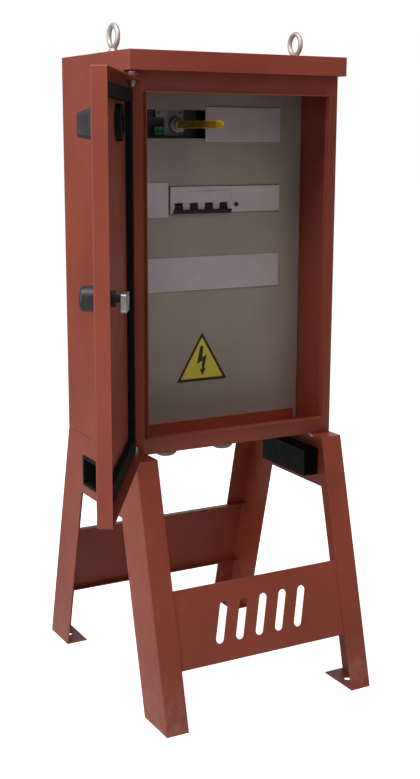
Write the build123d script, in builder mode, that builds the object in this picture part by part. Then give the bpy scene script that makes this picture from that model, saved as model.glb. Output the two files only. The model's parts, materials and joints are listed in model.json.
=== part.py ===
"""Site power distribution cabinet on an A-frame stand, built as separate pieces.

A folded steel cabinet with a rain hood stands on two folded side frames that splay to the
front and the rear. The hinged door is modelled open. Behind it a dead-front cover shows
three rows of rail-mounted devices.

Frame: millimetres, +Z up, +X to the right as seen from the front, the door faces -Y.
The origin is on the floor, at the centre of the four foot holes.
"""
import os
from math import atan, cos, degrees, radians

from build123d import *

os.makedirs("parts", exist_ok=True)

# ------------------------------------------------------------------ driving dimensions
WIDTH = 400.0              # cabinet and stand, outside
HALF_W = WIDTH / 2
STAND_H = 430.0            # floor to the underside of the cabinet
ROOF_Z = 1073.5            # top face of the roof
FRONT_Y = -105.0           # front face of the cabinet's flanges
BACK_Y = 140.0             # back face of the cabinet
HOOD_Y = -130.0            # front face of the rain hood
HOOD_LIP_H = 30.5
SHEET = 1.5                # cabinet and door sheet
HEAVY_SHEET = 2.0          # stand sheet
BEND_R = 2.5               # outside radius of a folded edge
EDGE_R = 1.2               # softened edges where the cabinet meets the stand

# stand
TOP_Y = 140.0              # legs' outer edge at the top, either side of centre
FOOT_Y = 250.0             # legs' outer edge at the floor
LEG_DEPTH = 82.0           # leg web, along Y
LEG_FACE = 40.0            # leg face, along X
GUSSET_Z = 322.0           # lower edge of the web between the legs
FOOT_HOLE_R = 6.5
CABINET_BOLT_R = 4.0
CABINET_BOLT_X = 180.0
CABINET_BOLT_Y = (-80.0, 100.0)
TUB_HALF_Y = 72.0
TUB_Z = (342.0, 390.0)
TUB_DEPTH = 31.0
TUB_RIM = 3.0
TUB_WALL = 2.5
FRONT_PANEL_Z = (95.0, 221.0)
REAR_PANEL_Z = (86.0, 218.5)
PANEL_FLANGE = 13.0
SLOT_COUNT = 5
SLOT_PITCH = 38.0
SLOT_LENGTH = 70.0
SLOT_WIDTH = 15.0
SLOT_TILT = 75.0           # degrees from the panel's long side

# cabinet opening, framed by a lip that stands forward and meets the door's gasket
OPEN_X = (-164.0, 176.0)
OPEN_Z = (459.5, 1010.5)
LIP = 12.0

# door, given closed; it is turned open about its pin line when it is written
DOOR_X = (-198.0, 198.0)
DOOR_Z = (440.0, 1029.0)
DOOR_FACE_Y = -128.5
DOOR_REAR_Y = -107.1
HINGE_X = -191.0
HINGE_Y = -121.0
DOOR_OPEN = 121.7          # degrees
PIN_R = 3.0
RUN_FIT = 0.05             # radial clearance of every turning pin
BUSH_R = 5.0
HINGE_PLATE = 3.0
TOP_HINGE_Z = 1035.0       # underside of the top hinge plate
LOW_HINGE_Z = 434.0        # underside of the bottom hinge plate
GASKET_X = (-170.0, -146.0, 166.0, 188.0)
GASKET_Z = (448.0, 474.0, 994.5, 1014.0)
GASKET_T = 9.6

# door switch handle and quarter-turn lock
SHAFT_X = -44.0
SHAFT_Z = 963.0
HANDLE_BORE_R = 12.0
SOCKET_R = 10.0
HANDLE_TIP_Y = -182.5
LOCK_X = 150.0
LOCK_Z = 737.5
LOCK_BODY_R = 10.9
KNOB_R = 17.0
KNOB_DEPTH = 23.5
SPINDLE_R = 5.0

# rail rows and the cover in front of them
ROW_Z = (964.0, 838.0, 711.5)
COVER_Y = 3.5
COVER_X = 197.5
COVER_Z = (433.3, 1050.0)
COVER_SHOWS_Z = 452.0      # top of the channel that the cover's lower edge stands in
WINDOW_X = 153.0
WINDOW_HALF_H = 23.5
BLANK_HALF_H = 29.0
BLANK_T = 2.2
RAIL_Y = 60.0              # front edges of the rails
RAIL_DEPTH = 7.5
UPRIGHT_X = 170.0

# devices
SHAFT_SIDE = 12.0
SHAFT_TIP_Y = -143.0
SHAFT_ROOT_Y = 14.0
SWITCH_FRONT_Y = 30.0
SWITCH_WIRE_X = (-80.0, -56.0, -32.0, -8.0)
BREAKER_X = (-64.0, 152.5)
DEVICE_HALF_H = 42.5
NOSE_HALF_H = 22.5
NOSE_Y = 0.5
SHOULDER_Y = 17.0
POLE_X = (-48.0, -19.0, 10.0, 39.0)
TOGGLE_PIVOT = (6.0, 825.5)            # y, z
TOGGLE_R = 5.5
TOGGLE_REACH = 12.5
TOGGLE_REST = 32.0                     # degrees below level
TOGGLE_SLOT_HALF_H = 7.5
LINK_BAR = (112.0, 3.6, 6.0)
BUTTON_X = 64.0
BUTTON_Z = 829.0
BUTTON_R = 3.6
WIRE_Y = 40.0
WIRE_R = 2.2
WIRE_HOLE_R = 3.0

# lifting eyes and cable glands
EYE_X = 172.0
EYE_Y = -12.0
EYE_RING_Z = 1100.0
EYE_RING_R = 17.0
EYE_WIRE_R = 4.0
EYE_SHANK_R = 5.0
GLAND_X = 57.5
GLAND_Y = 35.0
GLAND_BORE_R = 10.0
GLAND_FLATS = 42.0
DOME_R = 21.0
SPIGOT_R = 15.5
THREAD_R = 16.0
SEAL_R = 13.0


# ------------------------------------------------------------------ shared shapes
def block(x, y, z, mode=Mode.ADD):
    """An axis-aligned block between two limits on each axis."""
    middle = tuple((low + high) / 2 for low, high in (x, y, z))
    with Locations(middle):
        Box(abs(x[1] - x[0]), abs(y[1] - y[0]), abs(z[1] - z[0]), mode=mode)


def rod(axis, start, radius, length, mode=Mode.ADD):
    """A round bar that runs from start along +X, +Y or +Z."""
    turn = {"x": (0, 90, 0), "y": (-90, 0, 0), "z": (0, 0, 0)}[axis]
    with Locations(Location(start, turn)):
        Cylinder(radius, length, align=(Align.CENTER, Align.CENTER, Align.MIN), mode=mode)


def prism_x(outline, x, mode=Mode.ADD):
    """A (y, z) outline carried along X between two limits."""
    low, high = min(x), max(x)
    with BuildSketch(Plane.YZ.offset(low)) as profile:
        with BuildLine():
            Polyline(*outline, close=True)
        make_face()
    extrude(profile.sketch, amount=high - low, mode=mode)


def prism_y(outline, y, mode=Mode.ADD):
    """An (x, z) outline carried along Y between two limits."""
    low, high = min(y), max(y)
    with BuildSketch(Plane.XZ.offset(-high)) as profile:
        with BuildLine():
            Polyline(*outline, close=True)
        make_face()
    extrude(profile.sketch, amount=high - low, mode=mode)


def hexagon(centre, across_flats, height, mode=Mode.ADD):
    """A hexagonal prism standing on centre, along +Z."""
    with BuildSketch(Plane.XY.offset(centre[2])) as profile:
        with Locations((centre[0], centre[1])):
            RegularPolygon(across_flats / 2, 6, major_radius=False)
    extrude(profile.sketch, amount=height, mode=mode)


def keep(piece, label):
    """Name a piece that is modelled at its rest place, and write it."""
    piece.part.label = label
    export_step(piece.part, f"parts/{label}.step")


def keep_on_door(piece, label):
    """Swing a piece of the closed door open about the pin line, name it and write it."""
    pin_line = Axis((HINGE_X, HINGE_Y, 0), (0, 0, 1))
    opened = piece.part.rotate(pin_line, -DOOR_OPEN)
    opened.label = label
    export_step(opened, f"parts/{label}.step")


# ------------------------------------------------------------------ stand
LEG_SLOPE = (FOOT_Y - TOP_Y) / STAND_H
FACE_RUN = HEAVY_SHEET / cos(atan(LEG_SLOPE))


def leg_edge(z):
    """Distance of the legs' outer edge from the centre plane at height z."""
    return FOOT_Y - LEG_SLOPE * z


def make_side_frame(side, label):
    """One folded side: an A-shaped web with slanted faces, foot tabs and top tabs."""
    outer = side * HALF_W
    web = (outer, side * (HALF_W - HEAVY_SHEET))
    tab = (outer, side * (HALF_W - LEG_FACE))
    gusset = leg_edge(GUSSET_Z) - LEG_DEPTH
    outline = [(-TOP_Y, STAND_H), (TOP_Y, STAND_H), (FOOT_Y, 0), (FOOT_Y - LEG_DEPTH, 0),
               (gusset, GUSSET_Z), (-gusset, GUSSET_Z), (LEG_DEPTH - FOOT_Y, 0), (-FOOT_Y, 0)]
    with BuildPart() as frame:
        prism_x(outline, web)
        for end in (-1, 1):
            face = [(end * TOP_Y, STAND_H), (end * FOOT_Y, 0),
                    (end * (FOOT_Y - FACE_RUN), 0), (end * (TOP_Y - FACE_RUN), STAND_H)]
            prism_x(face, tab)
            block(tab, (end * (FOOT_Y - 1), end * (FOOT_Y - LEG_DEPTH)), (0, HEAVY_SHEET))
            block(tab, (end * (TOP_Y - 1), end * (TOP_Y - LEG_DEPTH)),
                  (STAND_H - HEAVY_SHEET, STAND_H))
            foot_centre = end * (FOOT_Y - LEG_DEPTH / 2)
            rod("z", (side * (HALF_W - LEG_FACE / 2), foot_centre, -1), FOOT_HOLE_R, 5,
                Mode.SUBTRACT)
        for y in CABINET_BOLT_Y:
            rod("z", (side * CABINET_BOLT_X, y, STAND_H - 5), CABINET_BOLT_R + 0.5, 10,
                Mode.SUBTRACT)
        block(web, (-TUB_HALF_Y - 0.5, TUB_HALF_Y + 0.5), (TUB_Z[0] - 0.5, TUB_Z[1] + 0.5),
              Mode.SUBTRACT)
        folds = [edge for edge in frame.edges()
                 if edge.length > STAND_H and abs(edge.center().X - outer) < 0.01
                 and abs(abs(edge.center().Y) - leg_edge(STAND_H / 2)) < 1]
        fillet(folds, radius=BEND_R)
        top_edge = [edge for edge in frame.edges().filter_by(Axis.Y)
                    if abs(edge.center().X - outer) < 0.01
                    and abs(edge.center().Z - STAND_H) < 0.01]
        fillet(top_edge, radius=EDGE_R)
    keep(frame, label)


def make_tub_handle(side, label):
    """A recessed grip: a tub open to the outside, with a thin rim around its mouth."""
    outer = side * (HALF_W + 1.6)
    floor = side * (HALF_W - TUB_DEPTH)
    with BuildPart() as tub:
        block((floor, side * HALF_W), (-TUB_HALF_Y, TUB_HALF_Y), TUB_Z)
        block((side * HALF_W, outer), (-TUB_HALF_Y - TUB_RIM, TUB_HALF_Y + TUB_RIM),
              (TUB_Z[0] - TUB_RIM, TUB_Z[1] + TUB_RIM))
        block((floor + side * TUB_WALL, outer + side),
              (-TUB_HALF_Y + TUB_WALL, TUB_HALF_Y - TUB_WALL),
              (TUB_Z[0] + TUB_WALL, TUB_Z[1] - TUB_WALL), Mode.SUBTRACT)
        fillet(tub.edges().filter_by(Axis.X).filter_by(lambda e: e.length < 2), radius=2)
    keep(tub, label)


def panel_face(z, inset):
    """Y of the leg faces' plane at height z, moved inwards by inset."""
    return leg_edge(z) - inset


def make_cross_panel(end, limits, flanged, slotted, label):
    """A slanted sheet behind the leg faces, with folded long edges or grip slots."""
    low, high = limits
    reach = HALF_W - HEAVY_SHEET
    near = FACE_RUN + 0.1
    far = near + FACE_RUN
    sheet = [(end * panel_face(low, near), low), (end * panel_face(high, near), high),
             (end * panel_face(high, far), high), (end * panel_face(low, far), low)]
    with BuildPart() as panel:
        prism_x(sheet, (-reach, reach))
        if flanged:
            for z, step in ((high, -HEAVY_SHEET), (low, HEAVY_SHEET)):
                edge = panel_face(z, near)
                block((-reach, reach), (end * (edge - PANEL_FLANGE), end * (edge - 1)),
                      (min(z, z + step), max(z, z + step)))
        if slotted:
            middle = (low + high) / 2
            tilt = degrees(atan(LEG_SLOPE))
            plane = Plane(origin=(0, end * panel_face(middle, near), middle), x_dir=(1, 0, 0),
                          z_dir=(0, end * cos(radians(tilt)), LEG_SLOPE * cos(radians(tilt))))
            with BuildSketch(plane) as slots:
                with GridLocations(SLOT_PITCH, 1, SLOT_COUNT, 1):
                    SlotOverall(SLOT_LENGTH, SLOT_WIDTH, rotation=SLOT_TILT)
            extrude(slots.sketch, amount=10, both=True, mode=Mode.SUBTRACT)
    keep(panel, label)


make_side_frame(-1, "side_frame_left")
make_side_frame(1, "side_frame_right")
make_tub_handle(-1, "tub_handle_left")
make_tub_handle(1, "tub_handle_right")
make_cross_panel(-1, FRONT_PANEL_Z, False, True, "cross_panel_front")
make_cross_panel(1, REAR_PANEL_Z, True, False, "cross_panel_rear")

BOLT_PLACES = [(x, y) for x in (-CABINET_BOLT_X, CABINET_BOLT_X) for y in CABINET_BOLT_Y]
FLOOR_TOP = STAND_H + SHEET
TAB_LOW = STAND_H - HEAVY_SHEET

with BuildPart() as stand_bolts:
    for x, y in BOLT_PLACES:
        hexagon((x, y, FLOOR_TOP), 13, 5.5)
        rod("z", (x, y, TAB_LOW - 11), CABINET_BOLT_R, 11 + HEAVY_SHEET + SHEET)
keep(stand_bolts, "stand_bolts")

with BuildPart() as stand_nuts:
    for x, y in BOLT_PLACES:
        rod("z", (x, y, TAB_LOW - 1.6), 8, 1.6)
        hexagon((x, y, TAB_LOW - 8.1), 13, 6.5)
        rod("z", (x, y, TAB_LOW - 9), CABINET_BOLT_R + RUN_FIT, 10, Mode.SUBTRACT)
keep(stand_nuts, "stand_nuts")

# ------------------------------------------------------------------ cabinet
ROOF_LOW = ROOF_Z - SHEET
INNER_X = HALF_W - SHEET
FLANGE_Y = (FRONT_Y, FRONT_Y + SHEET)
LIP_Y = (FRONT_Y - LIP, FRONT_Y)

with BuildPart() as cabinet_body:
    block((-HALF_W, HALF_W), (FRONT_Y, BACK_Y), (FLOOR_TOP, ROOF_LOW))
    block((-INNER_X, INNER_X), (FRONT_Y + SHEET, BACK_Y - SHEET), (FLOOR_TOP, ROOF_LOW),
          Mode.SUBTRACT)
    block(OPEN_X, FLANGE_Y, (FLOOR_TOP, ROOF_LOW), Mode.SUBTRACT)
    outer_folds = [edge for edge in cabinet_body.edges().filter_by(Axis.Z)
                   if abs(abs(edge.center().X) - HALF_W) < 0.01]
    fillet(outer_folds, radius=BEND_R)
    block((OPEN_X[0] - SHEET, OPEN_X[0]), LIP_Y, OPEN_Z)
    block((OPEN_X[1], OPEN_X[1] + SHEET), LIP_Y, OPEN_Z)
    block((OPEN_X[0] - SHEET, OPEN_X[0]), FLANGE_Y, OPEN_Z)
keep(cabinet_body, "cabinet_body")

with BuildPart() as cabinet_floor:
    block((-HALF_W, HALF_W), (FRONT_Y, BACK_Y), (STAND_H, FLOOR_TOP))
    fillet(cabinet_floor.edges().filter_by(Axis.Z), radius=BEND_R)
    fillet(cabinet_floor.edges().group_by(Axis.Z)[0], radius=EDGE_R)
    block(OPEN_X, FLANGE_Y, (FLOOR_TOP, OPEN_Z[0]))
    block((OPEN_X[0] - SHEET, OPEN_X[1] + SHEET), LIP_Y, (OPEN_Z[0] - SHEET, OPEN_Z[0]))
    for x, y in BOLT_PLACES:
        rod("z", (x, y, STAND_H - 1), CABINET_BOLT_R + 0.5, 5, Mode.SUBTRACT)
    for x in (-GLAND_X, GLAND_X):
        rod("z", (x, GLAND_Y, STAND_H - 1), THREAD_R + 0.2, 5, Mode.SUBTRACT)
keep(cabinet_floor, "cabinet_floor")

with BuildPart() as front_header:
    block(OPEN_X, FLANGE_Y, (OPEN_Z[1], ROOF_LOW))
    block((OPEN_X[0] - SHEET, OPEN_X[1] + SHEET), LIP_Y, (OPEN_Z[1], OPEN_Z[1] + SHEET))
keep(front_header, "front_header")

HOOD_LOW = ROOF_Z - HOOD_LIP_H

with BuildPart() as rain_hood:
    block((-HALF_W, HALF_W), (HOOD_Y, BACK_Y), (ROOF_LOW, ROOF_Z))
    block((-HALF_W, HALF_W), (HOOD_Y, FRONT_Y), (HOOD_LOW, ROOF_LOW))
    block((-INNER_X, INNER_X), (HOOD_Y + SHEET, FRONT_Y), (HOOD_LOW, ROOF_LOW), Mode.SUBTRACT)
    block((-INNER_X, INNER_X), (HOOD_Y, HOOD_Y + 9), (HOOD_LOW, HOOD_LOW + SHEET))
    corners = rain_hood.edges().filter_by(Axis.Z).group_by(Axis.Y)[0].filter_by(
        lambda e: abs(abs(e.center().X) - HALF_W) < 0.01)
    fillet(corners, radius=BEND_R)
    fillet(rain_hood.edges().filter_by(lambda e: abs(e.center().Z - ROOF_Z) < 0.01), radius=1.4)
    for x in (-EYE_X, EYE_X):
        rod("z", (x, EYE_Y, ROOF_LOW - 1), EYE_SHANK_R + 0.5, 5, Mode.SUBTRACT)
keep(rain_hood, "rain_hood")

# ------------------------------------------------------------------ lifting eyes
with BuildPart() as eye_bolts:
    for x in (-EYE_X, EYE_X):
        with Locations(Location((x, EYE_Y, EYE_RING_Z), (0, 90, 0))):
            Torus(EYE_RING_R, EYE_WIRE_R)
        rod("z", (x, EYE_Y, ROOF_Z), 11, 3)
        with Locations((x, EYE_Y, ROOF_Z + 5.5)):
            Cone(9, 5.5, 5)
        rod("z", (x, EYE_Y, ROOF_Z - 22), EYE_SHANK_R, 22)
keep(eye_bolts, "eye_bolts")

with BuildPart() as eye_bolt_washers:
    for x in (-EYE_X, EYE_X):
        rod("z", (x, EYE_Y, ROOF_LOW - 2), 10, 2)
        rod("z", (x, EYE_Y, ROOF_LOW - 3), EYE_SHANK_R + 0.25, 4, Mode.SUBTRACT)
keep(eye_bolt_washers, "eye_bolt_washers")

with BuildPart() as eye_bolt_nuts:
    for x in (-EYE_X, EYE_X):
        hexagon((x, EYE_Y, ROOF_LOW - 10), 17, 8)
        rod("z", (x, EYE_Y, ROOF_LOW - 11), EYE_SHANK_R + RUN_FIT, 10, Mode.SUBTRACT)
keep(eye_bolt_nuts, "eye_bolt_nuts")

# ------------------------------------------------------------------ cable glands
GLAND_HEX_LOW = STAND_H - 12       # underside of the body's hexagon
GLAND_TIP = STAND_H - 44           # lowest point of the dome nut

with BuildPart() as gland_bodies:
    for x in (-GLAND_X, GLAND_X):
        hexagon((x, GLAND_Y, GLAND_HEX_LOW), GLAND_FLATS, 12)
        rod("z", (x, GLAND_Y, STAND_H), THREAD_R, 12)
        rod("z", (x, GLAND_Y, GLAND_HEX_LOW - 12), SPIGOT_R, 12)
        rod("z", (x, GLAND_Y, GLAND_HEX_LOW - 13), SEAL_R + 0.2, 40, Mode.SUBTRACT)
keep(gland_bodies, "gland_bodies")

with BuildPart() as gland_locknuts:
    for x in (-GLAND_X, GLAND_X):
        hexagon((x, GLAND_Y, FLOOR_TOP), GLAND_FLATS, 6)
        rod("z", (x, GLAND_Y, FLOOR_TOP - 1), THREAD_R + RUN_FIT, 8, Mode.SUBTRACT)
keep(gland_locknuts, "gland_locknuts")

with BuildPart() as gland_dome_nuts:
    for x in (-GLAND_X, GLAND_X):
        with BuildSketch(Plane.XZ) as dome:
            with BuildLine():
                Polyline((11, GLAND_TIP), (13.5, GLAND_TIP))
                ThreePointArc((13.5, GLAND_TIP), (18.8, GLAND_TIP + 4.2), (DOME_R, GLAND_TIP + 12))
                Polyline((DOME_R, GLAND_TIP + 12), (DOME_R, GLAND_HEX_LOW - 0.5),
                         (SPIGOT_R + 0.1, GLAND_HEX_LOW - 0.5),
                         (SPIGOT_R + 0.1, GLAND_HEX_LOW - 14), (SEAL_R + 0.2, GLAND_HEX_LOW - 16.5),
                         (SEAL_R + 0.2, GLAND_TIP + 4), (11, GLAND_TIP + 4), (11, GLAND_TIP))
            make_face()
        nut = revolve(dome.sketch, axis=Axis.Z, mode=Mode.PRIVATE)
        add(nut.moved(Location((x, GLAND_Y, 0))))
keep(gland_dome_nuts, "gland_dome_nuts")

with BuildPart() as gland_seals:
    for x in (-GLAND_X, GLAND_X):
        rod("z", (x, GLAND_Y, GLAND_TIP + 4.1), SEAL_R, 26)
        rod("z", (x, GLAND_Y, GLAND_TIP), GLAND_BORE_R, 40, Mode.SUBTRACT)
keep(gland_seals, "gland_seals")

# ------------------------------------------------------------------ door pivots
HINGE_END_R = 8.0


def make_hinge_bracket(z, tab, label):
    """A plate that carries the pin in front of the flange, with a tab welded to it."""
    with BuildPart() as bracket:
        block((HINGE_X - HINGE_END_R, HINGE_X + HINGE_END_R), (HINGE_Y, FRONT_Y),
              (z, z + HINGE_PLATE))
        rod("z", (HINGE_X, HINGE_Y, z), HINGE_END_R, HINGE_PLATE)
        block((HINGE_X - HINGE_END_R, HINGE_X + 20), (FRONT_Y - 2.5, FRONT_Y), tab)
        rod("z", (HINGE_X, HINGE_Y, z - 1), PIN_R + RUN_FIT, HINGE_PLATE + 2, Mode.SUBTRACT)
    keep(bracket, label)


make_hinge_bracket(TOP_HINGE_Z, (TOP_HINGE_Z, HOOD_LOW - 0.5), "hinge_bracket_top")
make_hinge_bracket(LOW_HINGE_Z, (STAND_H + 0.5, LOW_HINGE_Z + HINGE_PLATE),
                   "hinge_bracket_bottom")

with BuildPart() as hinge_pins:
    rod("z", (HINGE_X, HINGE_Y, TOP_HINGE_Z + HINGE_PLATE), 5, 3)
    rod("z", (HINGE_X, HINGE_Y, DOOR_Z[1] - 11), PIN_R, TOP_HINGE_Z + HINGE_PLATE + 11 - DOOR_Z[1])
    rod("z", (HINGE_X, HINGE_Y, LOW_HINGE_Z - 3), 5, 3)
    rod("z", (HINGE_X, HINGE_Y, LOW_HINGE_Z), PIN_R, DOOR_Z[0] + 11 - LOW_HINGE_Z)
    chamfer(hinge_pins.edges().filter_by(GeomType.CIRCLE).group_by(SortBy.RADIUS)[-1], length=1)
keep(hinge_pins, "hinge_pins")

with BuildPart() as hinge_bushes:
    for start in (DOOR_Z[1] - 9, DOOR_Z[0]):
        rod("z", (HINGE_X, HINGE_Y, start), BUSH_R, 9)
        rod("z", (HINGE_X, HINGE_Y, start - 1), PIN_R + RUN_FIT, 11, Mode.SUBTRACT)
keep_on_door(hinge_bushes, "hinge_bushes")

# ------------------------------------------------------------------ door
SKIN_Y = DOOR_FACE_Y + SHEET
STEM_R = 15.0              # handle stem through the skin

with BuildPart() as door_panel:
    block(DOOR_X, (DOOR_FACE_Y, DOOR_REAR_Y), DOOR_Z)
    front_rim = door_panel.edges().group_by(Axis.Y)[0]
    fillet(front_rim + door_panel.edges().filter_by(Axis.Y), radius=2)
    block((DOOR_X[0] + SHEET, DOOR_X[1] - SHEET), (SKIN_Y, DOOR_REAR_Y),
          (DOOR_Z[0] + SHEET, DOOR_Z[1] - SHEET), Mode.SUBTRACT)
    for z in DOOR_Z:
        rod("z", (HINGE_X, HINGE_Y, z - 3), BUSH_R + 0.05, 6, Mode.SUBTRACT)
    rod("y", (SHAFT_X, DOOR_FACE_Y - 1, SHAFT_Z), STEM_R + 0.1, 5, Mode.SUBTRACT)
    rod("y", (LOCK_X, DOOR_FACE_Y - 1, LOCK_Z), LOCK_BODY_R + 0.1, 5, Mode.SUBTRACT)
keep_on_door(door_panel, "door_panel")

with BuildPart() as door_gasket:
    block((GASKET_X[0], GASKET_X[3]), (SKIN_Y, SKIN_Y + GASKET_T), (GASKET_Z[0], GASKET_Z[3]))
    fillet(door_gasket.edges().filter_by(Axis.Y), radius=8)
    fillet(door_gasket.edges().group_by(Axis.Y)[-1], radius=2.5)
    block((GASKET_X[1], GASKET_X[2]), (SKIN_Y, SKIN_Y + GASKET_T), (GASKET_Z[1], GASKET_Z[2]),
          Mode.SUBTRACT)
keep_on_door(door_gasket, "door_gasket")

# ------------------------------------------------------------------ door switch handle
FLANGE_T = 6.0
STEM_END_Y = -121.5
RING_END_Y = -117.5
HANDLE_BASE_Y = DOOR_FACE_Y - FLANGE_T - 0.3

with BuildPart() as handle_flange:
    block((SHAFT_X - 33, SHAFT_X + 33), (DOOR_FACE_Y - FLANGE_T, DOOR_FACE_Y),
          (SHAFT_Z - 33, SHAFT_Z + 33))
    fillet(handle_flange.edges().filter_by(Axis.Y), radius=7)
    fillet(handle_flange.edges().group_by(Axis.Y)[0], radius=2)
    rod("y", (SHAFT_X, DOOR_FACE_Y, SHAFT_Z), STEM_R, STEM_END_Y - DOOR_FACE_Y)
    rod("y", (SHAFT_X, DOOR_FACE_Y - 10, SHAFT_Z), HANDLE_BORE_R + 2 * RUN_FIT, 30,
        Mode.SUBTRACT)
keep_on_door(handle_flange, "handle_flange")

with BuildPart() as handle_inner_ring:
    rod("y", (SHAFT_X, SKIN_Y, SHAFT_Z), 26, RING_END_Y - SKIN_Y)
    fillet(handle_inner_ring.edges().group_by(Axis.Y)[-1], radius=1.5)
    rod("y", (SHAFT_X, SKIN_Y - 1, SHAFT_Z), STEM_R + 0.1, 15, Mode.SUBTRACT)
keep_on_door(handle_inner_ring, "handle_inner_ring")

with BuildPart() as switch_handle:
    rod("y", (SHAFT_X, HANDLE_BASE_Y - 11, SHAFT_Z), 29, 11)
    fillet(switch_handle.edges().group_by(Axis.Y)[0], radius=4)
    with BuildSketch(Plane.XZ.offset(-HANDLE_BASE_Y + 9)):
        with Locations((SHAFT_X, SHAFT_Z)):
            RectangleRounded(27, 56, 6)
    with BuildSketch(Plane.XZ.offset(-HANDLE_TIP_Y)):
        with Locations((SHAFT_X, SHAFT_Z - 4)):
            RectangleRounded(18, 34, 6)
    loft()
    fillet(switch_handle.edges().group_by(Axis.Y)[0], radius=3)
    rod("y", (SHAFT_X, HANDLE_BASE_Y - 1, SHAFT_Z), HANDLE_BORE_R, STEM_END_Y + 1 - HANDLE_BASE_Y)
    rod("y", (SHAFT_X, SHAFT_TIP_Y - 9, SHAFT_Z), SOCKET_R, 40, Mode.SUBTRACT)
keep_on_door(switch_handle, "switch_handle")

# ------------------------------------------------------------------ quarter-turn lock
LOCK_COLLAR_Y = DOOR_FACE_Y - 2.5
LOCK_BODY_END_Y = -106.0
CAM_Y = (-97.0, -89.5)
CAM_X = (-9.0, 23.0)       # from the spindle, the long end towards the door's free edge
CAM_Z = (-15.5, 9.0)       # from the spindle
SPINDLE_END_Y = CAM_Y[0] + 3
SCREW_R = 2.5
SCREW_HEAD_R = 4.5
SCREW_HEAD_T = 2.6
KNOB_Y = (DOOR_FACE_Y - KNOB_DEPTH, LOCK_COLLAR_Y - 0.3)

with BuildPart() as lock_housing:
    rod("y", (LOCK_X, LOCK_COLLAR_Y, LOCK_Z), 14, 2.5)
    rod("y", (LOCK_X, DOOR_FACE_Y, LOCK_Z), LOCK_BODY_R, LOCK_BODY_END_Y - DOOR_FACE_Y)
    rod("y", (LOCK_X, LOCK_COLLAR_Y - 1, LOCK_Z), SPINDLE_R + RUN_FIT, 30, Mode.SUBTRACT)
keep_on_door(lock_housing, "lock_housing")

with BuildPart() as lock_nut:
    with BuildSketch(Plane.XZ.offset(-SKIN_Y - 7)):
        with Locations((LOCK_X, LOCK_Z)):
            RegularPolygon(15, 6, major_radius=False, rotation=30)
    extrude(amount=7)
    rod("y", (LOCK_X, SKIN_Y - 1, LOCK_Z), LOCK_BODY_R + RUN_FIT, 10, Mode.SUBTRACT)
keep_on_door(lock_nut, "lock_nut")

with BuildPart() as lock_knob:
    rod("y", (LOCK_X, KNOB_Y[0], LOCK_Z), KNOB_R, KNOB_Y[1] - KNOB_Y[0])
    fillet(lock_knob.edges().group_by(Axis.Y)[0], radius=4)
    block((LOCK_X - 3, LOCK_X + 3), (KNOB_Y[0] - 1, KNOB_Y[0] + 5),
          (LOCK_Z - 12, LOCK_Z + 12), Mode.SUBTRACT)
    rod("y", (LOCK_X, KNOB_Y[1] - 1, LOCK_Z), SPINDLE_R, SPINDLE_END_Y + 1 - KNOB_Y[1])
    rod("y", (LOCK_X, SPINDLE_END_Y - 9, LOCK_Z), SCREW_R + RUN_FIT, 10, Mode.SUBTRACT)
keep_on_door(lock_knob, "lock_knob")

with BuildPart() as lock_cam:
    with BuildSketch(Plane.XZ.offset(-CAM_Y[1])):
        with Locations((LOCK_X + sum(CAM_X) / 2, LOCK_Z + sum(CAM_Z) / 2)):
            RectangleRounded(CAM_X[1] - CAM_X[0], CAM_Z[1] - CAM_Z[0], 3)
    extrude(amount=CAM_Y[1] - CAM_Y[0])
    rod("y", (LOCK_X, CAM_Y[0] - 1, LOCK_Z), SPINDLE_R + RUN_FIT, 4.1, Mode.SUBTRACT)
    rod("y", (LOCK_X, CAM_Y[0] - 1, LOCK_Z), SCREW_R + RUN_FIT, 20, Mode.SUBTRACT)
    rod("y", (LOCK_X, CAM_Y[1] - SCREW_HEAD_T, LOCK_Z), SCREW_HEAD_R + RUN_FIT, 5, Mode.SUBTRACT)
keep_on_door(lock_cam, "lock_cam")

with BuildPart() as lock_cam_screw:
    rod("y", (LOCK_X, CAM_Y[1] - SCREW_HEAD_T, LOCK_Z), SCREW_HEAD_R, SCREW_HEAD_T)
    rod("y", (LOCK_X, SPINDLE_END_Y - 8, LOCK_Z), SCREW_R, CAM_Y[1] - SCREW_HEAD_T - SPINDLE_END_Y + 8)
    block((LOCK_X - 3.5, LOCK_X + 3.5), (CAM_Y[1] - 1, CAM_Y[1] + 1),
          (LOCK_Z - 0.6, LOCK_Z + 0.6), Mode.SUBTRACT)
keep_on_door(lock_cam_screw, "lock_cam_screw")

# ------------------------------------------------------------------ mounting frame and rails
UPRIGHT_Y = RAIL_Y + RAIL_DEPTH


def make_upright(side, label):
    """A channel behind the rails, open to the back."""
    centre = side * UPRIGHT_X
    with BuildPart() as upright:
        block((centre - 13, centre + 13), (UPRIGHT_Y, UPRIGHT_Y + 15), (450, 1055))
        block((centre - 11, centre + 11), (UPRIGHT_Y + 2, UPRIGHT_Y + 16), (449, 1056),
              Mode.SUBTRACT)
    keep(upright, label)


make_upright(-1, "frame_upright_left")
make_upright(1, "frame_upright_right")

with BuildPart() as frame_standoffs:
    for x in (-UPRIGHT_X, UPRIGHT_X):
        for z in (480.0, 1030.0):
            rod("y", (x, UPRIGHT_Y + 2, z), 8, BACK_Y - SHEET - UPRIGHT_Y - 2)
keep(frame_standoffs, "frame_standoffs")


def make_rail(z, label):
    """A top-hat rail, 35 by 7.5 mm, one millimetre thick."""
    front, web = RAIL_Y, RAIL_Y + RAIL_DEPTH
    half = [(front, 17.5), (front + 1, 17.5), (front + 1, 13.5), (web, 13.5)]
    inner = [(web - 1, 12.5), (front, 12.5)]
    outline = half + [(y, -h) for y, h in reversed(half)]
    outline += [(y, -h) for y, h in reversed(inner)] + inner
    with BuildPart() as rail:
        prism_x([(y, z + h) for y, h in outline], (-UPRIGHT_X - 13, UPRIGHT_X + 13))
    keep(rail, label)


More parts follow.
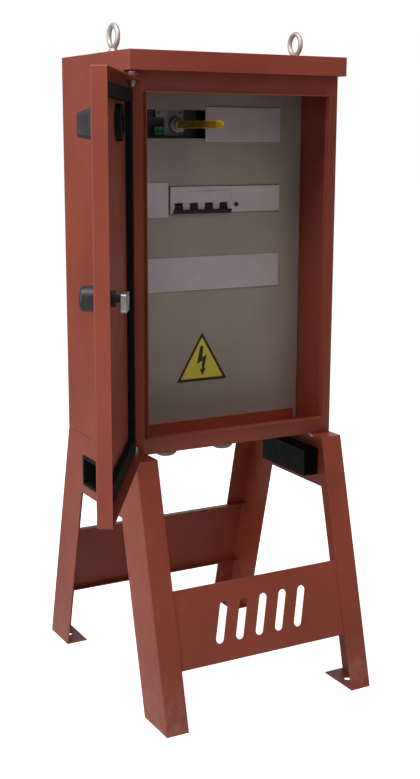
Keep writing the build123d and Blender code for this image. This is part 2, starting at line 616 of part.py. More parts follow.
for row_z, label in zip(ROW_Z, ("din_rail_top", "din_rail_middle", "din_rail_bottom")):
    make_rail(row_z, label)

# ------------------------------------------------------------------ dead-front cover
COVER_REAR_Y = COVER_Y + SHEET
SCREW_PLACES = [(x, 1041.0) for x in (-170.0, 0.0, 170.0)]

with BuildPart() as cover:
    block((-COVER_X, COVER_X), (COVER_Y, COVER_REAR_Y), COVER_Z)
    for z in ROW_Z:
        block((-WINDOW_X, WINDOW_X), (COVER_Y, COVER_REAR_Y),
              (z - WINDOW_HALF_H, z + WINDOW_HALF_H), Mode.SUBTRACT)
    for x, z in SCREW_PLACES:
        rod("y", (x, COVER_Y - 1, z), 2.8, 5, Mode.SUBTRACT)
keep(cover, "cover")

with BuildPart() as cover_screws:
    for x, z in SCREW_PLACES:
        rod("y", (x, COVER_Y - 2.4, z), 5, 2.4)
        rod("y", (x, COVER_Y, z), 2.5, 9)
        block((x - 4, x + 4), (COVER_Y - 2.5, COVER_Y - 1.4), (z - 0.6, z + 0.6), Mode.SUBTRACT)
keep(cover_screws, "cover_screws")

with BuildPart() as cover_support_lower:
    block((-190, 190), (COVER_Y - 1.7, COVER_REAR_Y + 1.7), (FLOOR_TOP, COVER_SHOWS_Z))
    block((-191, 191), (COVER_Y - 0.2, COVER_REAR_Y + 0.2), (FLOOR_TOP + SHEET, COVER_SHOWS_Z + 1),
          Mode.SUBTRACT)
keep(cover_support_lower, "cover_support_lower")

with BuildPart() as cover_support_upper:
    block((-190, 190), (COVER_REAR_Y, COVER_REAR_Y + SHEET), (1031, ROOF_LOW))
    block((-190, 190), (COVER_REAR_Y, COVER_REAR_Y + 20), (ROOF_LOW - SHEET, ROOF_LOW))
    for x, z in SCREW_PLACES:
        rod("y", (x, COVER_Y, z), 2.6, 10, Mode.SUBTRACT)
keep(cover_support_upper, "cover_support_upper")


def make_blank_strip(row_z, x, label):
    """A snap-in strip that closes the unused part of a window."""
    with BuildPart() as strip:
        block(x, (COVER_Y - BLANK_T, COVER_Y), (row_z - BLANK_HALF_H, row_z + BLANK_HALF_H))
        fillet(strip.edges().filter_by(Axis.Y), radius=1.5)
        fillet(strip.edges().group_by(Axis.Y)[0], radius=0.6)
        for rib in (-1, 1):
            outside = row_z + rib * (WINDOW_HALF_H - 0.3)
            inside = outside - rib * 1.5
            block((x[0] + 1, x[1] - 1), (COVER_Y, COVER_Y + 6), (outside, inside))
    keep(strip, label)


make_blank_strip(ROW_Z[0], (3.5, WINDOW_X), "blank_strip_top")
make_blank_strip(ROW_Z[1], (-WINDOW_X, -67.3), "blank_strip_middle")
make_blank_strip(ROW_Z[2], (-WINDOW_X, WINDOW_X), "blank_strip_bottom")

SIGN_X = -1.3
SIGN_BASE_Z = 520.5
SIGN_SIDE = 103.0

with BuildPart() as hazard_sign:
    height = SIGN_SIDE * cos(radians(30))
    prism_y([(SIGN_X - SIGN_SIDE / 2, SIGN_BASE_Z), (SIGN_X + SIGN_SIDE / 2, SIGN_BASE_Z),
             (SIGN_X, SIGN_BASE_Z + height)], (COVER_Y - 0.5, COVER_Y))
    fillet(hazard_sign.edges().filter_by(Axis.Y), radius=2.5)
keep(hazard_sign, "hazard_sign")

# ------------------------------------------------------------------ main switch, top row
with BuildPart() as main_switch_body:
    block((-92, 2), (SWITCH_FRONT_Y, RAIL_Y), (SHAFT_Z - DEVICE_HALF_H, SHAFT_Z + DEVICE_HALF_H))
    fillet(main_switch_body.edges().group_by(Axis.Y)[0], radius=2)
    rod("y", (SHAFT_X, SWITCH_FRONT_Y - 1, SHAFT_Z), SPINDLE_R + RUN_FIT, 20, Mode.SUBTRACT)
    for x in SWITCH_WIRE_X:
        rod("z", (x, WIRE_Y, SHAFT_Z - DEVICE_HALF_H - 1), WIRE_HOLE_R, 9, Mode.SUBTRACT)
keep(main_switch_body, "main_switch_body")

COUPLER_R = 13.0

with BuildPart() as main_switch_bridge:
    prism_y([(-80, SHAFT_Z + 25), (-28.5, SHAFT_Z + 25), (-28.5, SHAFT_Z - 18),
             (-64, SHAFT_Z - 18), (-64, SHAFT_Z + 12), (-80, SHAFT_Z + 12)],
            (SWITCH_FRONT_Y - 8, SWITCH_FRONT_Y))
    fillet(main_switch_bridge.edges().filter_by(Axis.Y), radius=1.5)
    rod("y", (SHAFT_X, SWITCH_FRONT_Y - 9, SHAFT_Z), COUPLER_R + 0.5, 12, Mode.SUBTRACT)
keep(main_switch_bridge, "main_switch_bridge")

with BuildPart() as switch_terminal:
    block((-84, -66), (SWITCH_FRONT_Y - 12, SWITCH_FRONT_Y), (SHAFT_Z - 17, SHAFT_Z - 3))
    fillet(switch_terminal.edges().filter_by(Axis.Y), radius=1.5)
    for x in (-79.5, -70.5):
        rod("y", (x, SWITCH_FRONT_Y - 13, SHAFT_Z - 10), 2.8, 5, Mode.SUBTRACT)
keep(switch_terminal, "switch_terminal")

HALF_SHAFT = SHAFT_SIDE / 2

with BuildPart() as shaft_coupler:
    rod("y", (SHAFT_X, 9, SHAFT_Z), COUPLER_R, SWITCH_FRONT_Y - 9.3)
    rod("y", (SHAFT_X, 1, SHAFT_Z), 10, 8)
    fillet(shaft_coupler.edges().group_by(Axis.Y)[0], radius=1)
    rod("y", (SHAFT_X, 20, SHAFT_Z), SPINDLE_R, 26)
    gap = HALF_SHAFT + RUN_FIT
    block((SHAFT_X - gap, SHAFT_X + gap), (0, SHAFT_ROOT_Y + 0.2), (SHAFT_Z - gap, SHAFT_Z + gap),
          Mode.SUBTRACT)
keep(shaft_coupler, "shaft_coupler")

with BuildPart() as switch_shaft:
    block((SHAFT_X - HALF_SHAFT, SHAFT_X + HALF_SHAFT), (SHAFT_TIP_Y + 10, SHAFT_ROOT_Y),
          (SHAFT_Z - HALF_SHAFT, SHAFT_Z + HALF_SHAFT))
    chamfer(switch_shaft.edges().filter_by(Axis.Y), length=1)
    with BuildSketch(Plane.XZ.offset(-SHAFT_TIP_Y - 10)):
        with Locations((SHAFT_X, SHAFT_Z)):
            Rectangle(SHAFT_SIDE - 1, SHAFT_SIDE - 1)
    with BuildSketch(Plane.XZ.offset(-SHAFT_TIP_Y)):
        with Locations((SHAFT_X, SHAFT_Z)):
            Rectangle(3.5, 3.5)
    loft()
keep(switch_shaft, "switch_shaft")

# ------------------------------------------------------------------ breaker, middle row
PIVOT_Y, PIVOT_Z = TOGGLE_PIVOT
TIP_Y = PIVOT_Y - TOGGLE_REACH * cos(radians(TOGGLE_REST))
TIP_Z = PIVOT_Z - TOGGLE_REACH * cos(radians(90 - TOGGLE_REST))

with BuildPart() as breaker_body:
    mid = ROW_Z[1]
    profile = [(NOSE_Y, NOSE_HALF_H), (SHOULDER_Y, NOSE_HALF_H), (SHOULDER_Y, DEVICE_HALF_H),
               (RAIL_Y, DEVICE_HALF_H)]
    outline = profile + [(y, -h) for y, h in reversed(profile)]
    prism_x([(y, mid + h) for y, h in outline], BREAKER_X)
    fillet(breaker_body.edges().group_by(Axis.Y)[0], radius=0.8)
    for x in POLE_X:
        block((x - 8, x + 8), (NOSE_Y, PIVOT_Y + 8),
              (PIVOT_Z - TOGGLE_SLOT_HALF_H, PIVOT_Z + TOGGLE_SLOT_HALF_H), Mode.SUBTRACT)
        rod("z", (x, WIRE_Y, mid - DEVICE_HALF_H - 1), WIRE_HOLE_R, 9, Mode.SUBTRACT)
        rod("z", (x, WIRE_Y, mid + DEVICE_HALF_H - 8), WIRE_HOLE_R, 9, Mode.SUBTRACT)
    rod("y", (BUTTON_X, NOSE_Y - 1, BUTTON_Z), BUTTON_R + 0.3, 14, Mode.SUBTRACT)
keep(breaker_body, "breaker_body")

with BuildPart() as toggle_levers:
    for x in POLE_X:
        rod("x", (x - 7, PIVOT_Y, PIVOT_Z), TOGGLE_R, 14)
    for x in POLE_X:
        with Locations(Location((x, PIVOT_Y, PIVOT_Z), (TOGGLE_REST, 0, 0))):
            Box(13, TOGGLE_REACH - LINK_BAR[1] / 2, 5,
                align=(Align.CENTER, Align.MAX, Align.CENTER))
keep(toggle_levers, "toggle_levers")

with BuildPart() as toggle_link_bar:
    with Locations(Location((sum(POLE_X) / 4, TIP_Y, TIP_Z), (TOGGLE_REST, 0, 0))):
        Box(*LINK_BAR)
    fillet(toggle_link_bar.edges().filter_by(Axis.X), radius=1)
keep(toggle_link_bar, "toggle_link_bar")

with BuildPart() as test_button:
    rod("y", (BUTTON_X, NOSE_Y - 2.5, BUTTON_Z), BUTTON_R, 10)
    fillet(test_button.edges().group_by(Axis.Y)[0], radius=0.6)
keep(test_button, "test_button")

# ------------------------------------------------------------------ terminals and wiring
TERMINAL_PITCH = 12.2
TERMINAL_COUNT = 9
TERMINAL_X0 = -70.0
TERMINAL_HALF_H = 24.0

with BuildPart() as terminal_blocks:
    for index in range(TERMINAL_COUNT):
        left = TERMINAL_X0 + index * TERMINAL_PITCH
        block((left, left + 12), (14, RAIL_Y),
              (ROW_Z[2] - TERMINAL_HALF_H, ROW_Z[2] + TERMINAL_HALF_H))
        for z in (ROW_Z[2] - 16, ROW_Z[2] + 16):
            rod("y", (left + 6, 13, z), 2.5, 6, Mode.SUBTRACT)
        rod("z", (left + 6, WIRE_Y, ROW_Z[2] + TERMINAL_HALF_H - 8), WIRE_HOLE_R, 9,
            Mode.SUBTRACT)
keep(terminal_blocks, "terminal_blocks")

EARTH_Z = 560.0
with BuildPart() as earth_bar:
    block((-110, 110), (96, 104), (EARTH_Z - 6, EARTH_Z + 6))
    with Locations(*[Location((x, 100, EARTH_Z), (90, 0, 0)) for x in range(-90, 91, 20)]):
        Cylinder(3, 12, mode=Mode.SUBTRACT)
    for x in (-100, 100):
        rod("y", (x, 104, EARTH_Z), 7, BACK_Y - SHEET - 104)
keep(earth_bar, "earth_bar")


def make_wires(starts, ends, low_z, high_z, label):
    """One bundle of single cores between two rows, each a straight-arc-straight path."""
    lead = (high_z - low_z) * 0.22
    with BuildPart() as wires:
        for low_x, high_x in zip(starts, ends):
            with BuildLine() as route:
                FilletPolyline((low_x, WIRE_Y, low_z), (low_x, WIRE_Y, low_z + lead),
                               (high_x, WIRE_Y, high_z - lead), (high_x, WIRE_Y, high_z),
                               radius=8)
            with BuildSketch(Plane.XY.offset(low_z)) as section:
                with Locations((low_x, WIRE_Y)):
                    Circle(WIRE_R)
            sweep(section.sketch, path=route.wires()[0])
    keep(wires, label)


TERMINAL_TOPS = [TERMINAL_X0 + 6 + TERMINAL_PITCH * step for step in (1, 3, 5, 7)]
make_wires(TERMINAL_TOPS, POLE_X, ROW_Z[2] + TERMINAL_HALF_H - 7, ROW_Z[1] - DEVICE_HALF_H + 7,
           "supply_wires")
make_wires(POLE_X, SWITCH_WIRE_X, ROW_Z[1] + DEVICE_HALF_H - 7, SHAFT_Z - DEVICE_HALF_H + 7,
           "load_wires")
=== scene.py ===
"""The looks of a site power distribution cabinet on a folded A-frame stand.

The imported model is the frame: every CAD node keeps its shape and place, and gets a procedural
material. Small pieces that the sheet metal and the devices carry, such as weld beads, printed
sign marks, screws and gland ribs, are built here in mesh code and ride on the CAD bodies.

Units are metres, in the same frame as the model: +Z up, the door faces -Y, the origin is on the
floor at the centre of the four foot holes.
"""
import json
import math

import bmesh
import bpy
from mathutils import Matrix, Vector


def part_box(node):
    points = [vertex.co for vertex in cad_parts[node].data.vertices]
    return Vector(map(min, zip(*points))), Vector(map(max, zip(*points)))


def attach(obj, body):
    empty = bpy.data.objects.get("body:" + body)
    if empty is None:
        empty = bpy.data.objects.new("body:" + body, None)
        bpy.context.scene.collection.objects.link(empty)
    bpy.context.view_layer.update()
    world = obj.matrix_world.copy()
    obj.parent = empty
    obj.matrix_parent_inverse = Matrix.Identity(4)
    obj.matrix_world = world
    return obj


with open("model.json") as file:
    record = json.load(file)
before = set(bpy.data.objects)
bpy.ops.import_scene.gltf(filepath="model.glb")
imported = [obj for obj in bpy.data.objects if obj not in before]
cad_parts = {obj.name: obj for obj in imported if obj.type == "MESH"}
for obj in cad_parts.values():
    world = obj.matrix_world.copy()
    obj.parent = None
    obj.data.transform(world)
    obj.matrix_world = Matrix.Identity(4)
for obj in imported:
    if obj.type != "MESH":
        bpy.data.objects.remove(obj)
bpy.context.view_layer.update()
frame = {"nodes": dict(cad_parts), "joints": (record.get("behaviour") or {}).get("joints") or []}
nodes = frame["nodes"]
joints = {joint["name"]: joint for joint in frame["joints"]}

MM = 0.001
FLOOR_GLOW = 0.98           # keeps the floor white around the object
WORLD_LIGHT = 0.03          # the surround's strength as a light
WORLD_MIRRORED = 0.32       # its strength in reflections
LIGHT_AIM = (0.0, 0.0, 0.65)
PRINT_T = 0.12 * MM         # how far a printed mark stands out
PRINT_SUNK = 0.05 * MM      # how far it starts behind the printed face


# ------------------------------------------------------------------ frame measures
def high(node):
    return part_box(node)[1]


def middle(node):
    lowest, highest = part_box(node)
    return (lowest + highest) / 2


def shut_front(node):
    """Where the front of one of the door's pieces is along Y when the door is shut."""
    piece = nodes[node]
    return min((SHUT_DOOR @ piece.matrix_world @ vertex.co).y for vertex in piece.data.vertices)


DOOR_OPEN = math.radians(joints["door_hinge"]["range_deg"][1])
PIN = Vector(joints["door_hinge"]["pos_m"])
OPEN_DOOR = (Matrix.Translation(PIN) @ Matrix.Rotation(-DOOR_OPEN, 4, "Z")
             @ Matrix.Translation(-PIN))
SHUT_DOOR = OPEN_DOOR.inverted()
STAND_Z = high("side_frame_left").z
LEG_FOOT_Y = high("side_frame_left").y
LEG_TOP_Y = high("cabinet_body").y


# ------------------------------------------------------------------ materials
class Nodes:
    """A material's node tree, with short calls for the nodes that several materials share."""

    def __init__(self, name):
        self.material = bpy.data.materials.new(name)
        self.material.use_nodes = True
        self.tree = self.material.node_tree
        self.shader = self.tree.nodes["Principled BSDF"]
        self.place = self.tree.nodes.new("ShaderNodeTexCoord").outputs["Object"]

    def add(self, kind, settings=None, **inputs):
        node = self.tree.nodes.new(kind)
        for key, value in (settings or {}).items():
            setattr(node, key, value)
        for key, value in inputs.items():
            self.feed(node.inputs[key.replace("_", " ")], value)
        return node

    def feed(self, socket, value):
        if isinstance(value, bpy.types.NodeSocket):
            self.tree.links.new(value, socket)
        else:
            socket.default_value = value

    def stretched(self, x, y, z):
        """The object's own coordinates, scaled differently along each axis."""
        node = self.add("ShaderNodeMapping", Vector=self.place)
        node.inputs["Scale"].default_value = (x, y, z)
        return node.outputs["Vector"]

    def noise(self, size, detail=2.0, roughness=0.5, place=None):
        """Smooth noise from 0 to 1 whose lumps are about size metres wide."""
        node = self.add("ShaderNodeTexNoise", Vector=place or self.place, Scale=1 / size,
                        Detail=detail, Roughness=roughness)
        return node.outputs["Fac"]

    def cells(self, size):
        """Distance to the nearest of the scattered points, for pores and speckles."""
        node = self.add("ShaderNodeTexVoronoi", Vector=self.place, Scale=1 / size)
        return node.outputs["Distance"]

    def fit(self, value, from_low, from_high, to_low, to_high):
        node = self.add("ShaderNodeMapRange", Value=value)
        limits = zip(("From Min", "From Max", "To Min", "To Max"),
                     (from_low, from_high, to_low, to_high))
        for name, limit in limits:
            node.inputs[name].default_value = limit
        return node.outputs["Result"]

    def maths(self, operation, first, second):
        node = self.add("ShaderNodeMath", {"operation": operation})
        self.feed(node.inputs[0], first)
        self.feed(node.inputs[1], second)
        return node.outputs[0]

    def blend(self, share, first, second):
        """One colour turning into another as share goes from 0 to 1."""
        node = self.add("ShaderNodeMix", {"data_type": "RGBA"})
        self.feed(node.inputs[0], share)
        self.feed(node.inputs[6], first)
        self.feed(node.inputs[7], second)
        return node.outputs[2]

    def rounded(self, width):
        """The surface's direction with its edges rounded off to about width metres."""
        return self.add("ShaderNodeBevel", {"samples": 4}, Radius=width).outputs["Normal"]

    def edges(self, width, low_turn, high_turn):
        """1 on corners and folds within width metres of them, 0 on flat faces."""
        flat = self.add("ShaderNodeNewGeometry")
        dot = self.add("ShaderNodeVectorMath", {"operation": "DOT_PRODUCT"})
        self.tree.links.new(self.rounded(width), dot.inputs[0])
        self.tree.links.new(flat.outputs["Normal"], dot.inputs[1])
        return self.fit(dot.outputs["Value"], high_turn, low_turn, 1.0, 0.0)

    def height(self):
        split = self.add("ShaderNodeSeparateXYZ", Vector=self.place)
        return split.outputs["Z"]

    def bumps(self, *layers, fold=0.8 * MM):
        """Bump layers of (height, strength, depth in metres), each laid on the one before."""
        normal = self.rounded(fold)
        for height, strength, depth in layers:
            node = self.add("ShaderNodeBump", Strength=strength, Distance=depth, Height=height,
                            Normal=normal)
            normal = node.outputs["Normal"]
        self.tree.links.new(normal, self.shader.inputs["Normal"])

    def finish(self, **sockets):
        for key, value in sockets.items():
            self.feed(self.shader.inputs[key.replace("_", " ")], value)
        return self.material


def colour(red, green, blue):
    """A linear colour from the 0 to 255 values that a screen shows."""
    def linear(value):
        value /= 255
        return value / 12.92 if value <= 0.04045 else ((value + 0.055) / 1.055) ** 2.4
    return (linear(red), linear(green), linear(blue), 1.0)


def make_powder_coat(name, base, deep, wear_and_edge_light, gloss):
    """Powder-coated sheet: orange-peel skin, slow shifts of tone, edges lightened by wear from
    rubbing and by a painted edge highlight, floor dust.
    """
    coat = Nodes(name)
    tone = coat.fit(coat.noise(0.16, 3.0), 0.35, 0.68, 0.0, 1.0)
    body = coat.blend(tone, base, deep)
    streaks = coat.noise(0.012, 4.0, 0.6, coat.stretched(1.0, 1.0, 0.08))
    streaked = coat.blend(coat.fit(streaks, 0.5, 0.78, 0.0, 0.22), body, deep)
    broken = coat.fit(coat.noise(0.006, 5.0, 0.7), 0.47, 0.62, 0.0, 1.0)
    # edges and folds lightened: part wear from rubbing, part painted edge highlight
    rub_and_edge_highlight = coat.maths("MULTIPLY", coat.edges(1.6 * MM, 0.97, 0.80), broken)
    rubbed_and_highlit = coat.blend(coat.maths("MULTIPLY", rub_and_edge_highlight, 0.55), streaked, wear_and_edge_light)
    near_floor = coat.fit(coat.height(), 0.0, 0.10, 1.0, 0.0)
    dusty = coat.maths("MULTIPLY", near_floor, coat.fit(coat.noise(0.018, 5.0, 0.65),
                                                       0.42, 0.75, 0.0, 0.40))
    dusted = coat.blend(dusty, rubbed_and_highlit, colour(176, 160, 146))
    rough = coat.fit(coat.noise(0.045, 4.0, 0.6), 0.3, 0.7, gloss - 0.05, gloss + 0.06)
    rough = coat.maths("ADD", rough, coat.maths("MULTIPLY", dusty, 0.5))
    coat.bumps((coat.noise(0.30, 1.0), 0.35, 1.2 * MM),
               (coat.noise(1.9 * MM, 2.0), 0.16, 0.10 * MM),
               (coat.noise(0.5 * MM, 1.0), 0.10, 0.03 * MM))
    return coat.finish(Base_Color=dusted, Roughness=rough)


def make_steel(name, base, stain, gloss, grain):
    """Zinc-plated steel: crystalline mottle, dull handling marks and fine drawing lines."""
    steel = Nodes(name)
    mottle = steel.fit(steel.cells(3.5 * MM), 0.0, 0.7, 0.0, 1.0)
    cloud = steel.fit(steel.noise(0.02, 5.0, 0.6), 0.35, 0.7, 0.0, 1.0)
    body = steel.blend(steel.maths("MULTIPLY", mottle, cloud), base, stain)
    rough = steel.fit(steel.noise(4 * MM, 5.0, 0.7), 0.3, 0.7, gloss - 0.08, gloss + 0.12)
    lines = steel.noise(0.9 * MM, 3.0, 0.6, steel.stretched(*grain))
    steel.bumps((lines, 0.12, 0.05 * MM), (steel.noise(2.5 * MM, 3.0), 0.15, 0.12 * MM))
    return steel.finish(Base_Color=body, Roughness=rough, Metallic=1.0)


def make_moulded(name, base, lighter, gloss, texture=0.5 * MM, depth=0.06 * MM, sheen=0.5):
    """Moulded plastic: spark-eroded grain, corners lightened by wear from rubbing and by a painted
    highlight, and a slow shift of gloss.
    """
    plastic = Nodes(name)
    tone = plastic.fit(plastic.noise(0.03, 4.0, 0.6), 0.35, 0.7, 0.0, 0.5)
    body = plastic.blend(tone, base, lighter)
    # corners lightened: part wear from rubbing, part painted highlight
    rub_and_edge_highlight = plastic.maths("MULTIPLY", plastic.edges(0.9 * MM, 0.97, 0.82), 0.5)
    rubbed_and_highlit = plastic.blend(rub_and_edge_highlight, body, lighter)
    rough = plastic.fit(plastic.noise(0.02, 4.0, 0.6), 0.3, 0.7, gloss - 0.06, gloss + 0.08)
    plastic.bumps((plastic.noise(texture, 2.0), 0.30, depth),
                  (plastic.noise(9 * MM, 2.0), 0.10, 0.25 * MM))
    return plastic.finish(Base_Color=rubbed_and_highlit, Roughness=rough, Specular_IOR_Level=sheen)


def make_brass():
    """Drawn square brass bar: lines along its length and a thin brown tarnish."""
    brass = Nodes("drawn_brass")
    tarnish = brass.fit(brass.noise(0.012, 5.0, 0.65), 0.38, 0.72, 0.0, 1.0)
    body = brass.blend(tarnish, colour(255, 214, 66), colour(220, 160, 40))
    lines = brass.noise(0.8 * MM, 3.0, 0.6, brass.stretched(1.0, 0.03, 1.0))
    rough = brass.fit(lines, 0.3, 0.7, 0.34, 0.50)
    brass.bumps((lines, 0.20, 0.05 * MM))
    return brass.finish(Base_Color=body, Roughness=rough, Metallic=0.8)


def make_foam_rubber():
    """Foamed-in-place sealing bead: matt black skin with open pores and a wavy surface."""
    rubber = Nodes("sealing_foam")
    pores = rubber.fit(rubber.cells(1.1 * MM), 0.0, 0.35, 0.0, 1.0)
    body = rubber.blend(rubber.noise(0.02, 3.0), colour(8, 7, 8), colour(20, 18, 19))
    rubber.bumps((pores, 0.45, 0.15 * MM), (rubber.noise(12 * MM, 2.0), 0.35, 0.6 * MM))
    rough = rubber.fit(pores, 0.0, 1.0, 0.95, 0.78)
    return rubber.finish(Base_Color=body, Roughness=rough, Specular_IOR_Level=0.12)


def make_printed(name, ink, faded, gloss):
    """Screen-printed sign film: even ink with faint fading and fine surface ripple."""
    film = Nodes(name)
    body = film.blend(film.fit(film.noise(0.03, 4.0, 0.6), 0.35, 0.7, 0.0, 0.8), ink, faded)
    film.bumps((film.noise(6 * MM, 2.0), 0.15, 0.15 * MM), (film.noise(0.4 * MM), 0.1, 0.02 * MM))
    rough = film.fit(film.noise(0.01, 4.0), 0.3, 0.7, gloss - 0.05, gloss + 0.08)
    return film.finish(Base_Color=body, Roughness=rough)


# the third colour of each coat lightens its edges: wear from rubbing and a painted edge highlight
RED = make_powder_coat("red_powder_coat", colour(158, 72, 48), colour(142, 62, 42),
                       colour(190, 120, 96), 0.42)
BEIGE = make_powder_coat("beige_powder_coat", colour(163, 151, 141), colour(149, 138, 128),
                         colour(190, 184, 172), 0.46)
ZINC = make_steel("zinc_plate", colour(196, 194, 190), colour(150, 148, 144), 0.42,
                  (1.0, 1.0, 0.1))
RAIL_ZINC = make_steel("rail_zinc", colour(186, 182, 160), colour(150, 144, 120), 0.34,
                       (0.04, 1.0, 1.0))
MATT_ZINC = make_steel("matt_zinc", colour(222, 218, 212), colour(190, 186, 180), 0.58,
                       (1.0, 1.0, 0.2))
CAM_ZINC = make_steel("cast_zinc", colour(210, 208, 205), colour(172, 170, 168), 0.38,
                      (1.0, 1.0, 1.0))
BRASS = make_brass()
# the second colour of each plastic also lightens its corners as a painted highlight, besides wear
# from rubbing
BLACK = make_moulded("black_polyamide", colour(25, 26, 27), colour(62, 64, 65), 0.42)
TUB_BLACK = make_moulded("black_grip_plastic", colour(10, 10, 11), colour(28, 29, 30), 0.55,
                         0.8 * MM, 0.10 * MM, sheen=0.15)
TOGGLE_BLACK = make_moulded("black_toggle_plastic", colour(16, 16, 18), colour(50, 51, 53), 0.36,
                            sheen=0.35)
TOGGLE_BAR = make_moulded("dark_link_plastic", colour(30, 16, 16), colour(58, 36, 36), 0.42,
                          sheen=0.3)
BUTTON = make_moulded("dark_button_plastic", colour(58, 32, 40), colour(84, 54, 60), 0.40,
                      sheen=0.3)
GREY = make_moulded("grey_polyamide", colour(150, 144, 148), colour(172, 168, 170), 0.48)
LIGHT = make_moulded("light_grey_plastic", colour(190, 178, 183), colour(204, 193, 197), 0.40)
WHITE_DEVICE = make_moulded("device_grey_plastic", colour(198, 184, 190), colour(212, 200, 204),
                            0.38)
GREEN = make_moulded("green_terminal_plastic", colour(28, 120, 52), colour(60, 150, 80), 0.40)
RUBBER = make_foam_rubber()
SIGN_YELLOW = make_printed("sign_yellow", colour(224, 204, 62), colour(208, 190, 72), 0.42)
SIGN_BLACK = make_printed("sign_black", colour(22, 20, 18), colour(38, 34, 30), 0.48)
SCREW_BROWN = make_steel("bronzed_screw", colour(138, 104, 84), colour(96, 70, 56), 0.45,
                         (1.0, 1.0, 1.0))
LABEL_BROWN = make_printed("label_seam", colour(128, 104, 100), colour(140, 118, 112), 0.5)
MARK_WHITE = make_printed("mark_white", colour(214, 214, 210), colour(196, 196, 190), 0.45)
WIRE = make_moulded("wire_insulation", colour(24, 25, 28), colour(46, 46, 50), 0.40)

LOOKS = {
    RED: ("cabinet_body", "cabinet_floor", "front_header", "rain_hood", "door_panel",
          "side_frame_left", "side_frame_right", "cross_panel_front", "cross_panel_rear",
          "cover_support_lower", "cover_support_upper", "hinge_bracket_top",
          "hinge_bracket_bottom"),
    BEIGE: ("cover",),
    ZINC: ("eye_bolt_washers", "eye_bolt_nuts", "stand_bolts", "stand_nuts", "hinge_bushes",
           "frame_standoffs", "cover_screws"),
    MATT_ZINC: ("eye_bolts", "hinge_pins", "lock_nut", "lock_cam_screw"),
    RAIL_ZINC: ("frame_upright_left", "frame_upright_right", "din_rail_top", "din_rail_middle",
                "din_rail_bottom"),
    CAM_ZINC: ("lock_cam",),
    BRASS: ("switch_shaft", "earth_bar"),
    BLACK: ("handle_flange", "switch_handle", "lock_housing", "lock_knob",
            "main_switch_body"),
    TUB_BLACK: ("tub_handle_left", "tub_handle_right", "handle_inner_ring"),
    TOGGLE_BLACK: ("toggle_levers",),
    TOGGLE_BAR: ("toggle_link_bar",),
    BUTTON: ("test_button",),
    GREY: ("gland_bodies", "gland_locknuts", "gland_dome_nuts", "main_switch_bridge",
           "shaft_coupler", "terminal_blocks"),
    LIGHT: ("blank_strip_top", "blank_strip_middle", "blank_strip_bottom"),
    WHITE_DEVICE: ("breaker_body",),
    GREEN: ("switch_terminal",),
    RUBBER: ("door_gasket", "gland_seals"),
    SIGN_YELLOW: ("hazard_sign",),
    WIRE: ("supply_wires", "load_wires"),
}


def dress_nodes():
    """Gives every CAD node its material, in the slots that it came with."""
    for material, names in LOOKS.items():
        for name in names:
            for slot in nodes[name].material_slots:
                slot.material = material


# ------------------------------------------------------------------ new pieces
def make_piece(name, mesh_work, material, body, smooth=True):
    """A mesh that mesh_work fills, with one material, riding on a body."""
    mesh = bpy.data.meshes.new(name)
    work = bmesh.new()
    mesh_work(work)
    bmesh.ops.recalc_face_normals(work, faces=work.faces)
    for face in work.faces:
        face.smooth = smooth
    work.to_mesh(mesh)
    work.free()
    mesh.materials.append(material)
    piece = bpy.data.objects.new(name, mesh)
    bpy.context.scene.collection.objects.link(piece)
    if smooth:
        mesh.set_sharp_from_angle(angle=math.radians(35))
    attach(piece, body)
    return piece


def turns(count):
    """The angles of count even steps round a circle."""
    return [2 * math.pi * step / count for step in range(count)]


def skin_rings(work, rings):
    """Faces between each ring of vertices and the next, and a cap at both ends."""
    count = len(rings[0])
    for first, second in zip(rings, rings[1:]):
        for i in range(count):
            j = (i + 1) % count
            work.faces.new((first[i], first[j], second[j], second[i]))
    work.faces.new(rings[0][::-1])
    work.faces.new(rings[-1])


def add_prism(work, outline, y_back, y_front):
    """A closed (x, z) outline between two depths along Y."""
    back = [work.verts.new((x, y_back, z)) for x, z in outline]
    front = [work.verts.new((x, y_front, z)) for x, z in outline]
    count = len(outline)
    work.faces.new(back)
    work.faces.new(front[::-1])
    for i in range(count):
        j = (i + 1) % count
        work.faces.new((back[i], back[j], front[j], front[i]))


def triangle(x, z, side, corner_r, steps=6):
    """A rounded equilateral triangle's outline, standing on z, centred on x."""
    height = side * math.sqrt(3) / 2
    corners = [(x - side / 2, z), (x + side / 2, z), (x, z + height)]
    centre = Vector((x, z + height / 3))
    points = []
    for index, corner in enumerate(corners):
        outward = (Vector(corner) - centre).normalized()
        hub = Vector(corner) - outward * corner_r * 2
        start = math.atan2(outward.y, outward.x) - math.radians(60)
        for step in range(steps + 1):
            angle = start + math.radians(120) * step / steps
            points.append((hub.x + corner_r * math.cos(angle), hub.y + corner_r * math.sin(angle)))
    return points


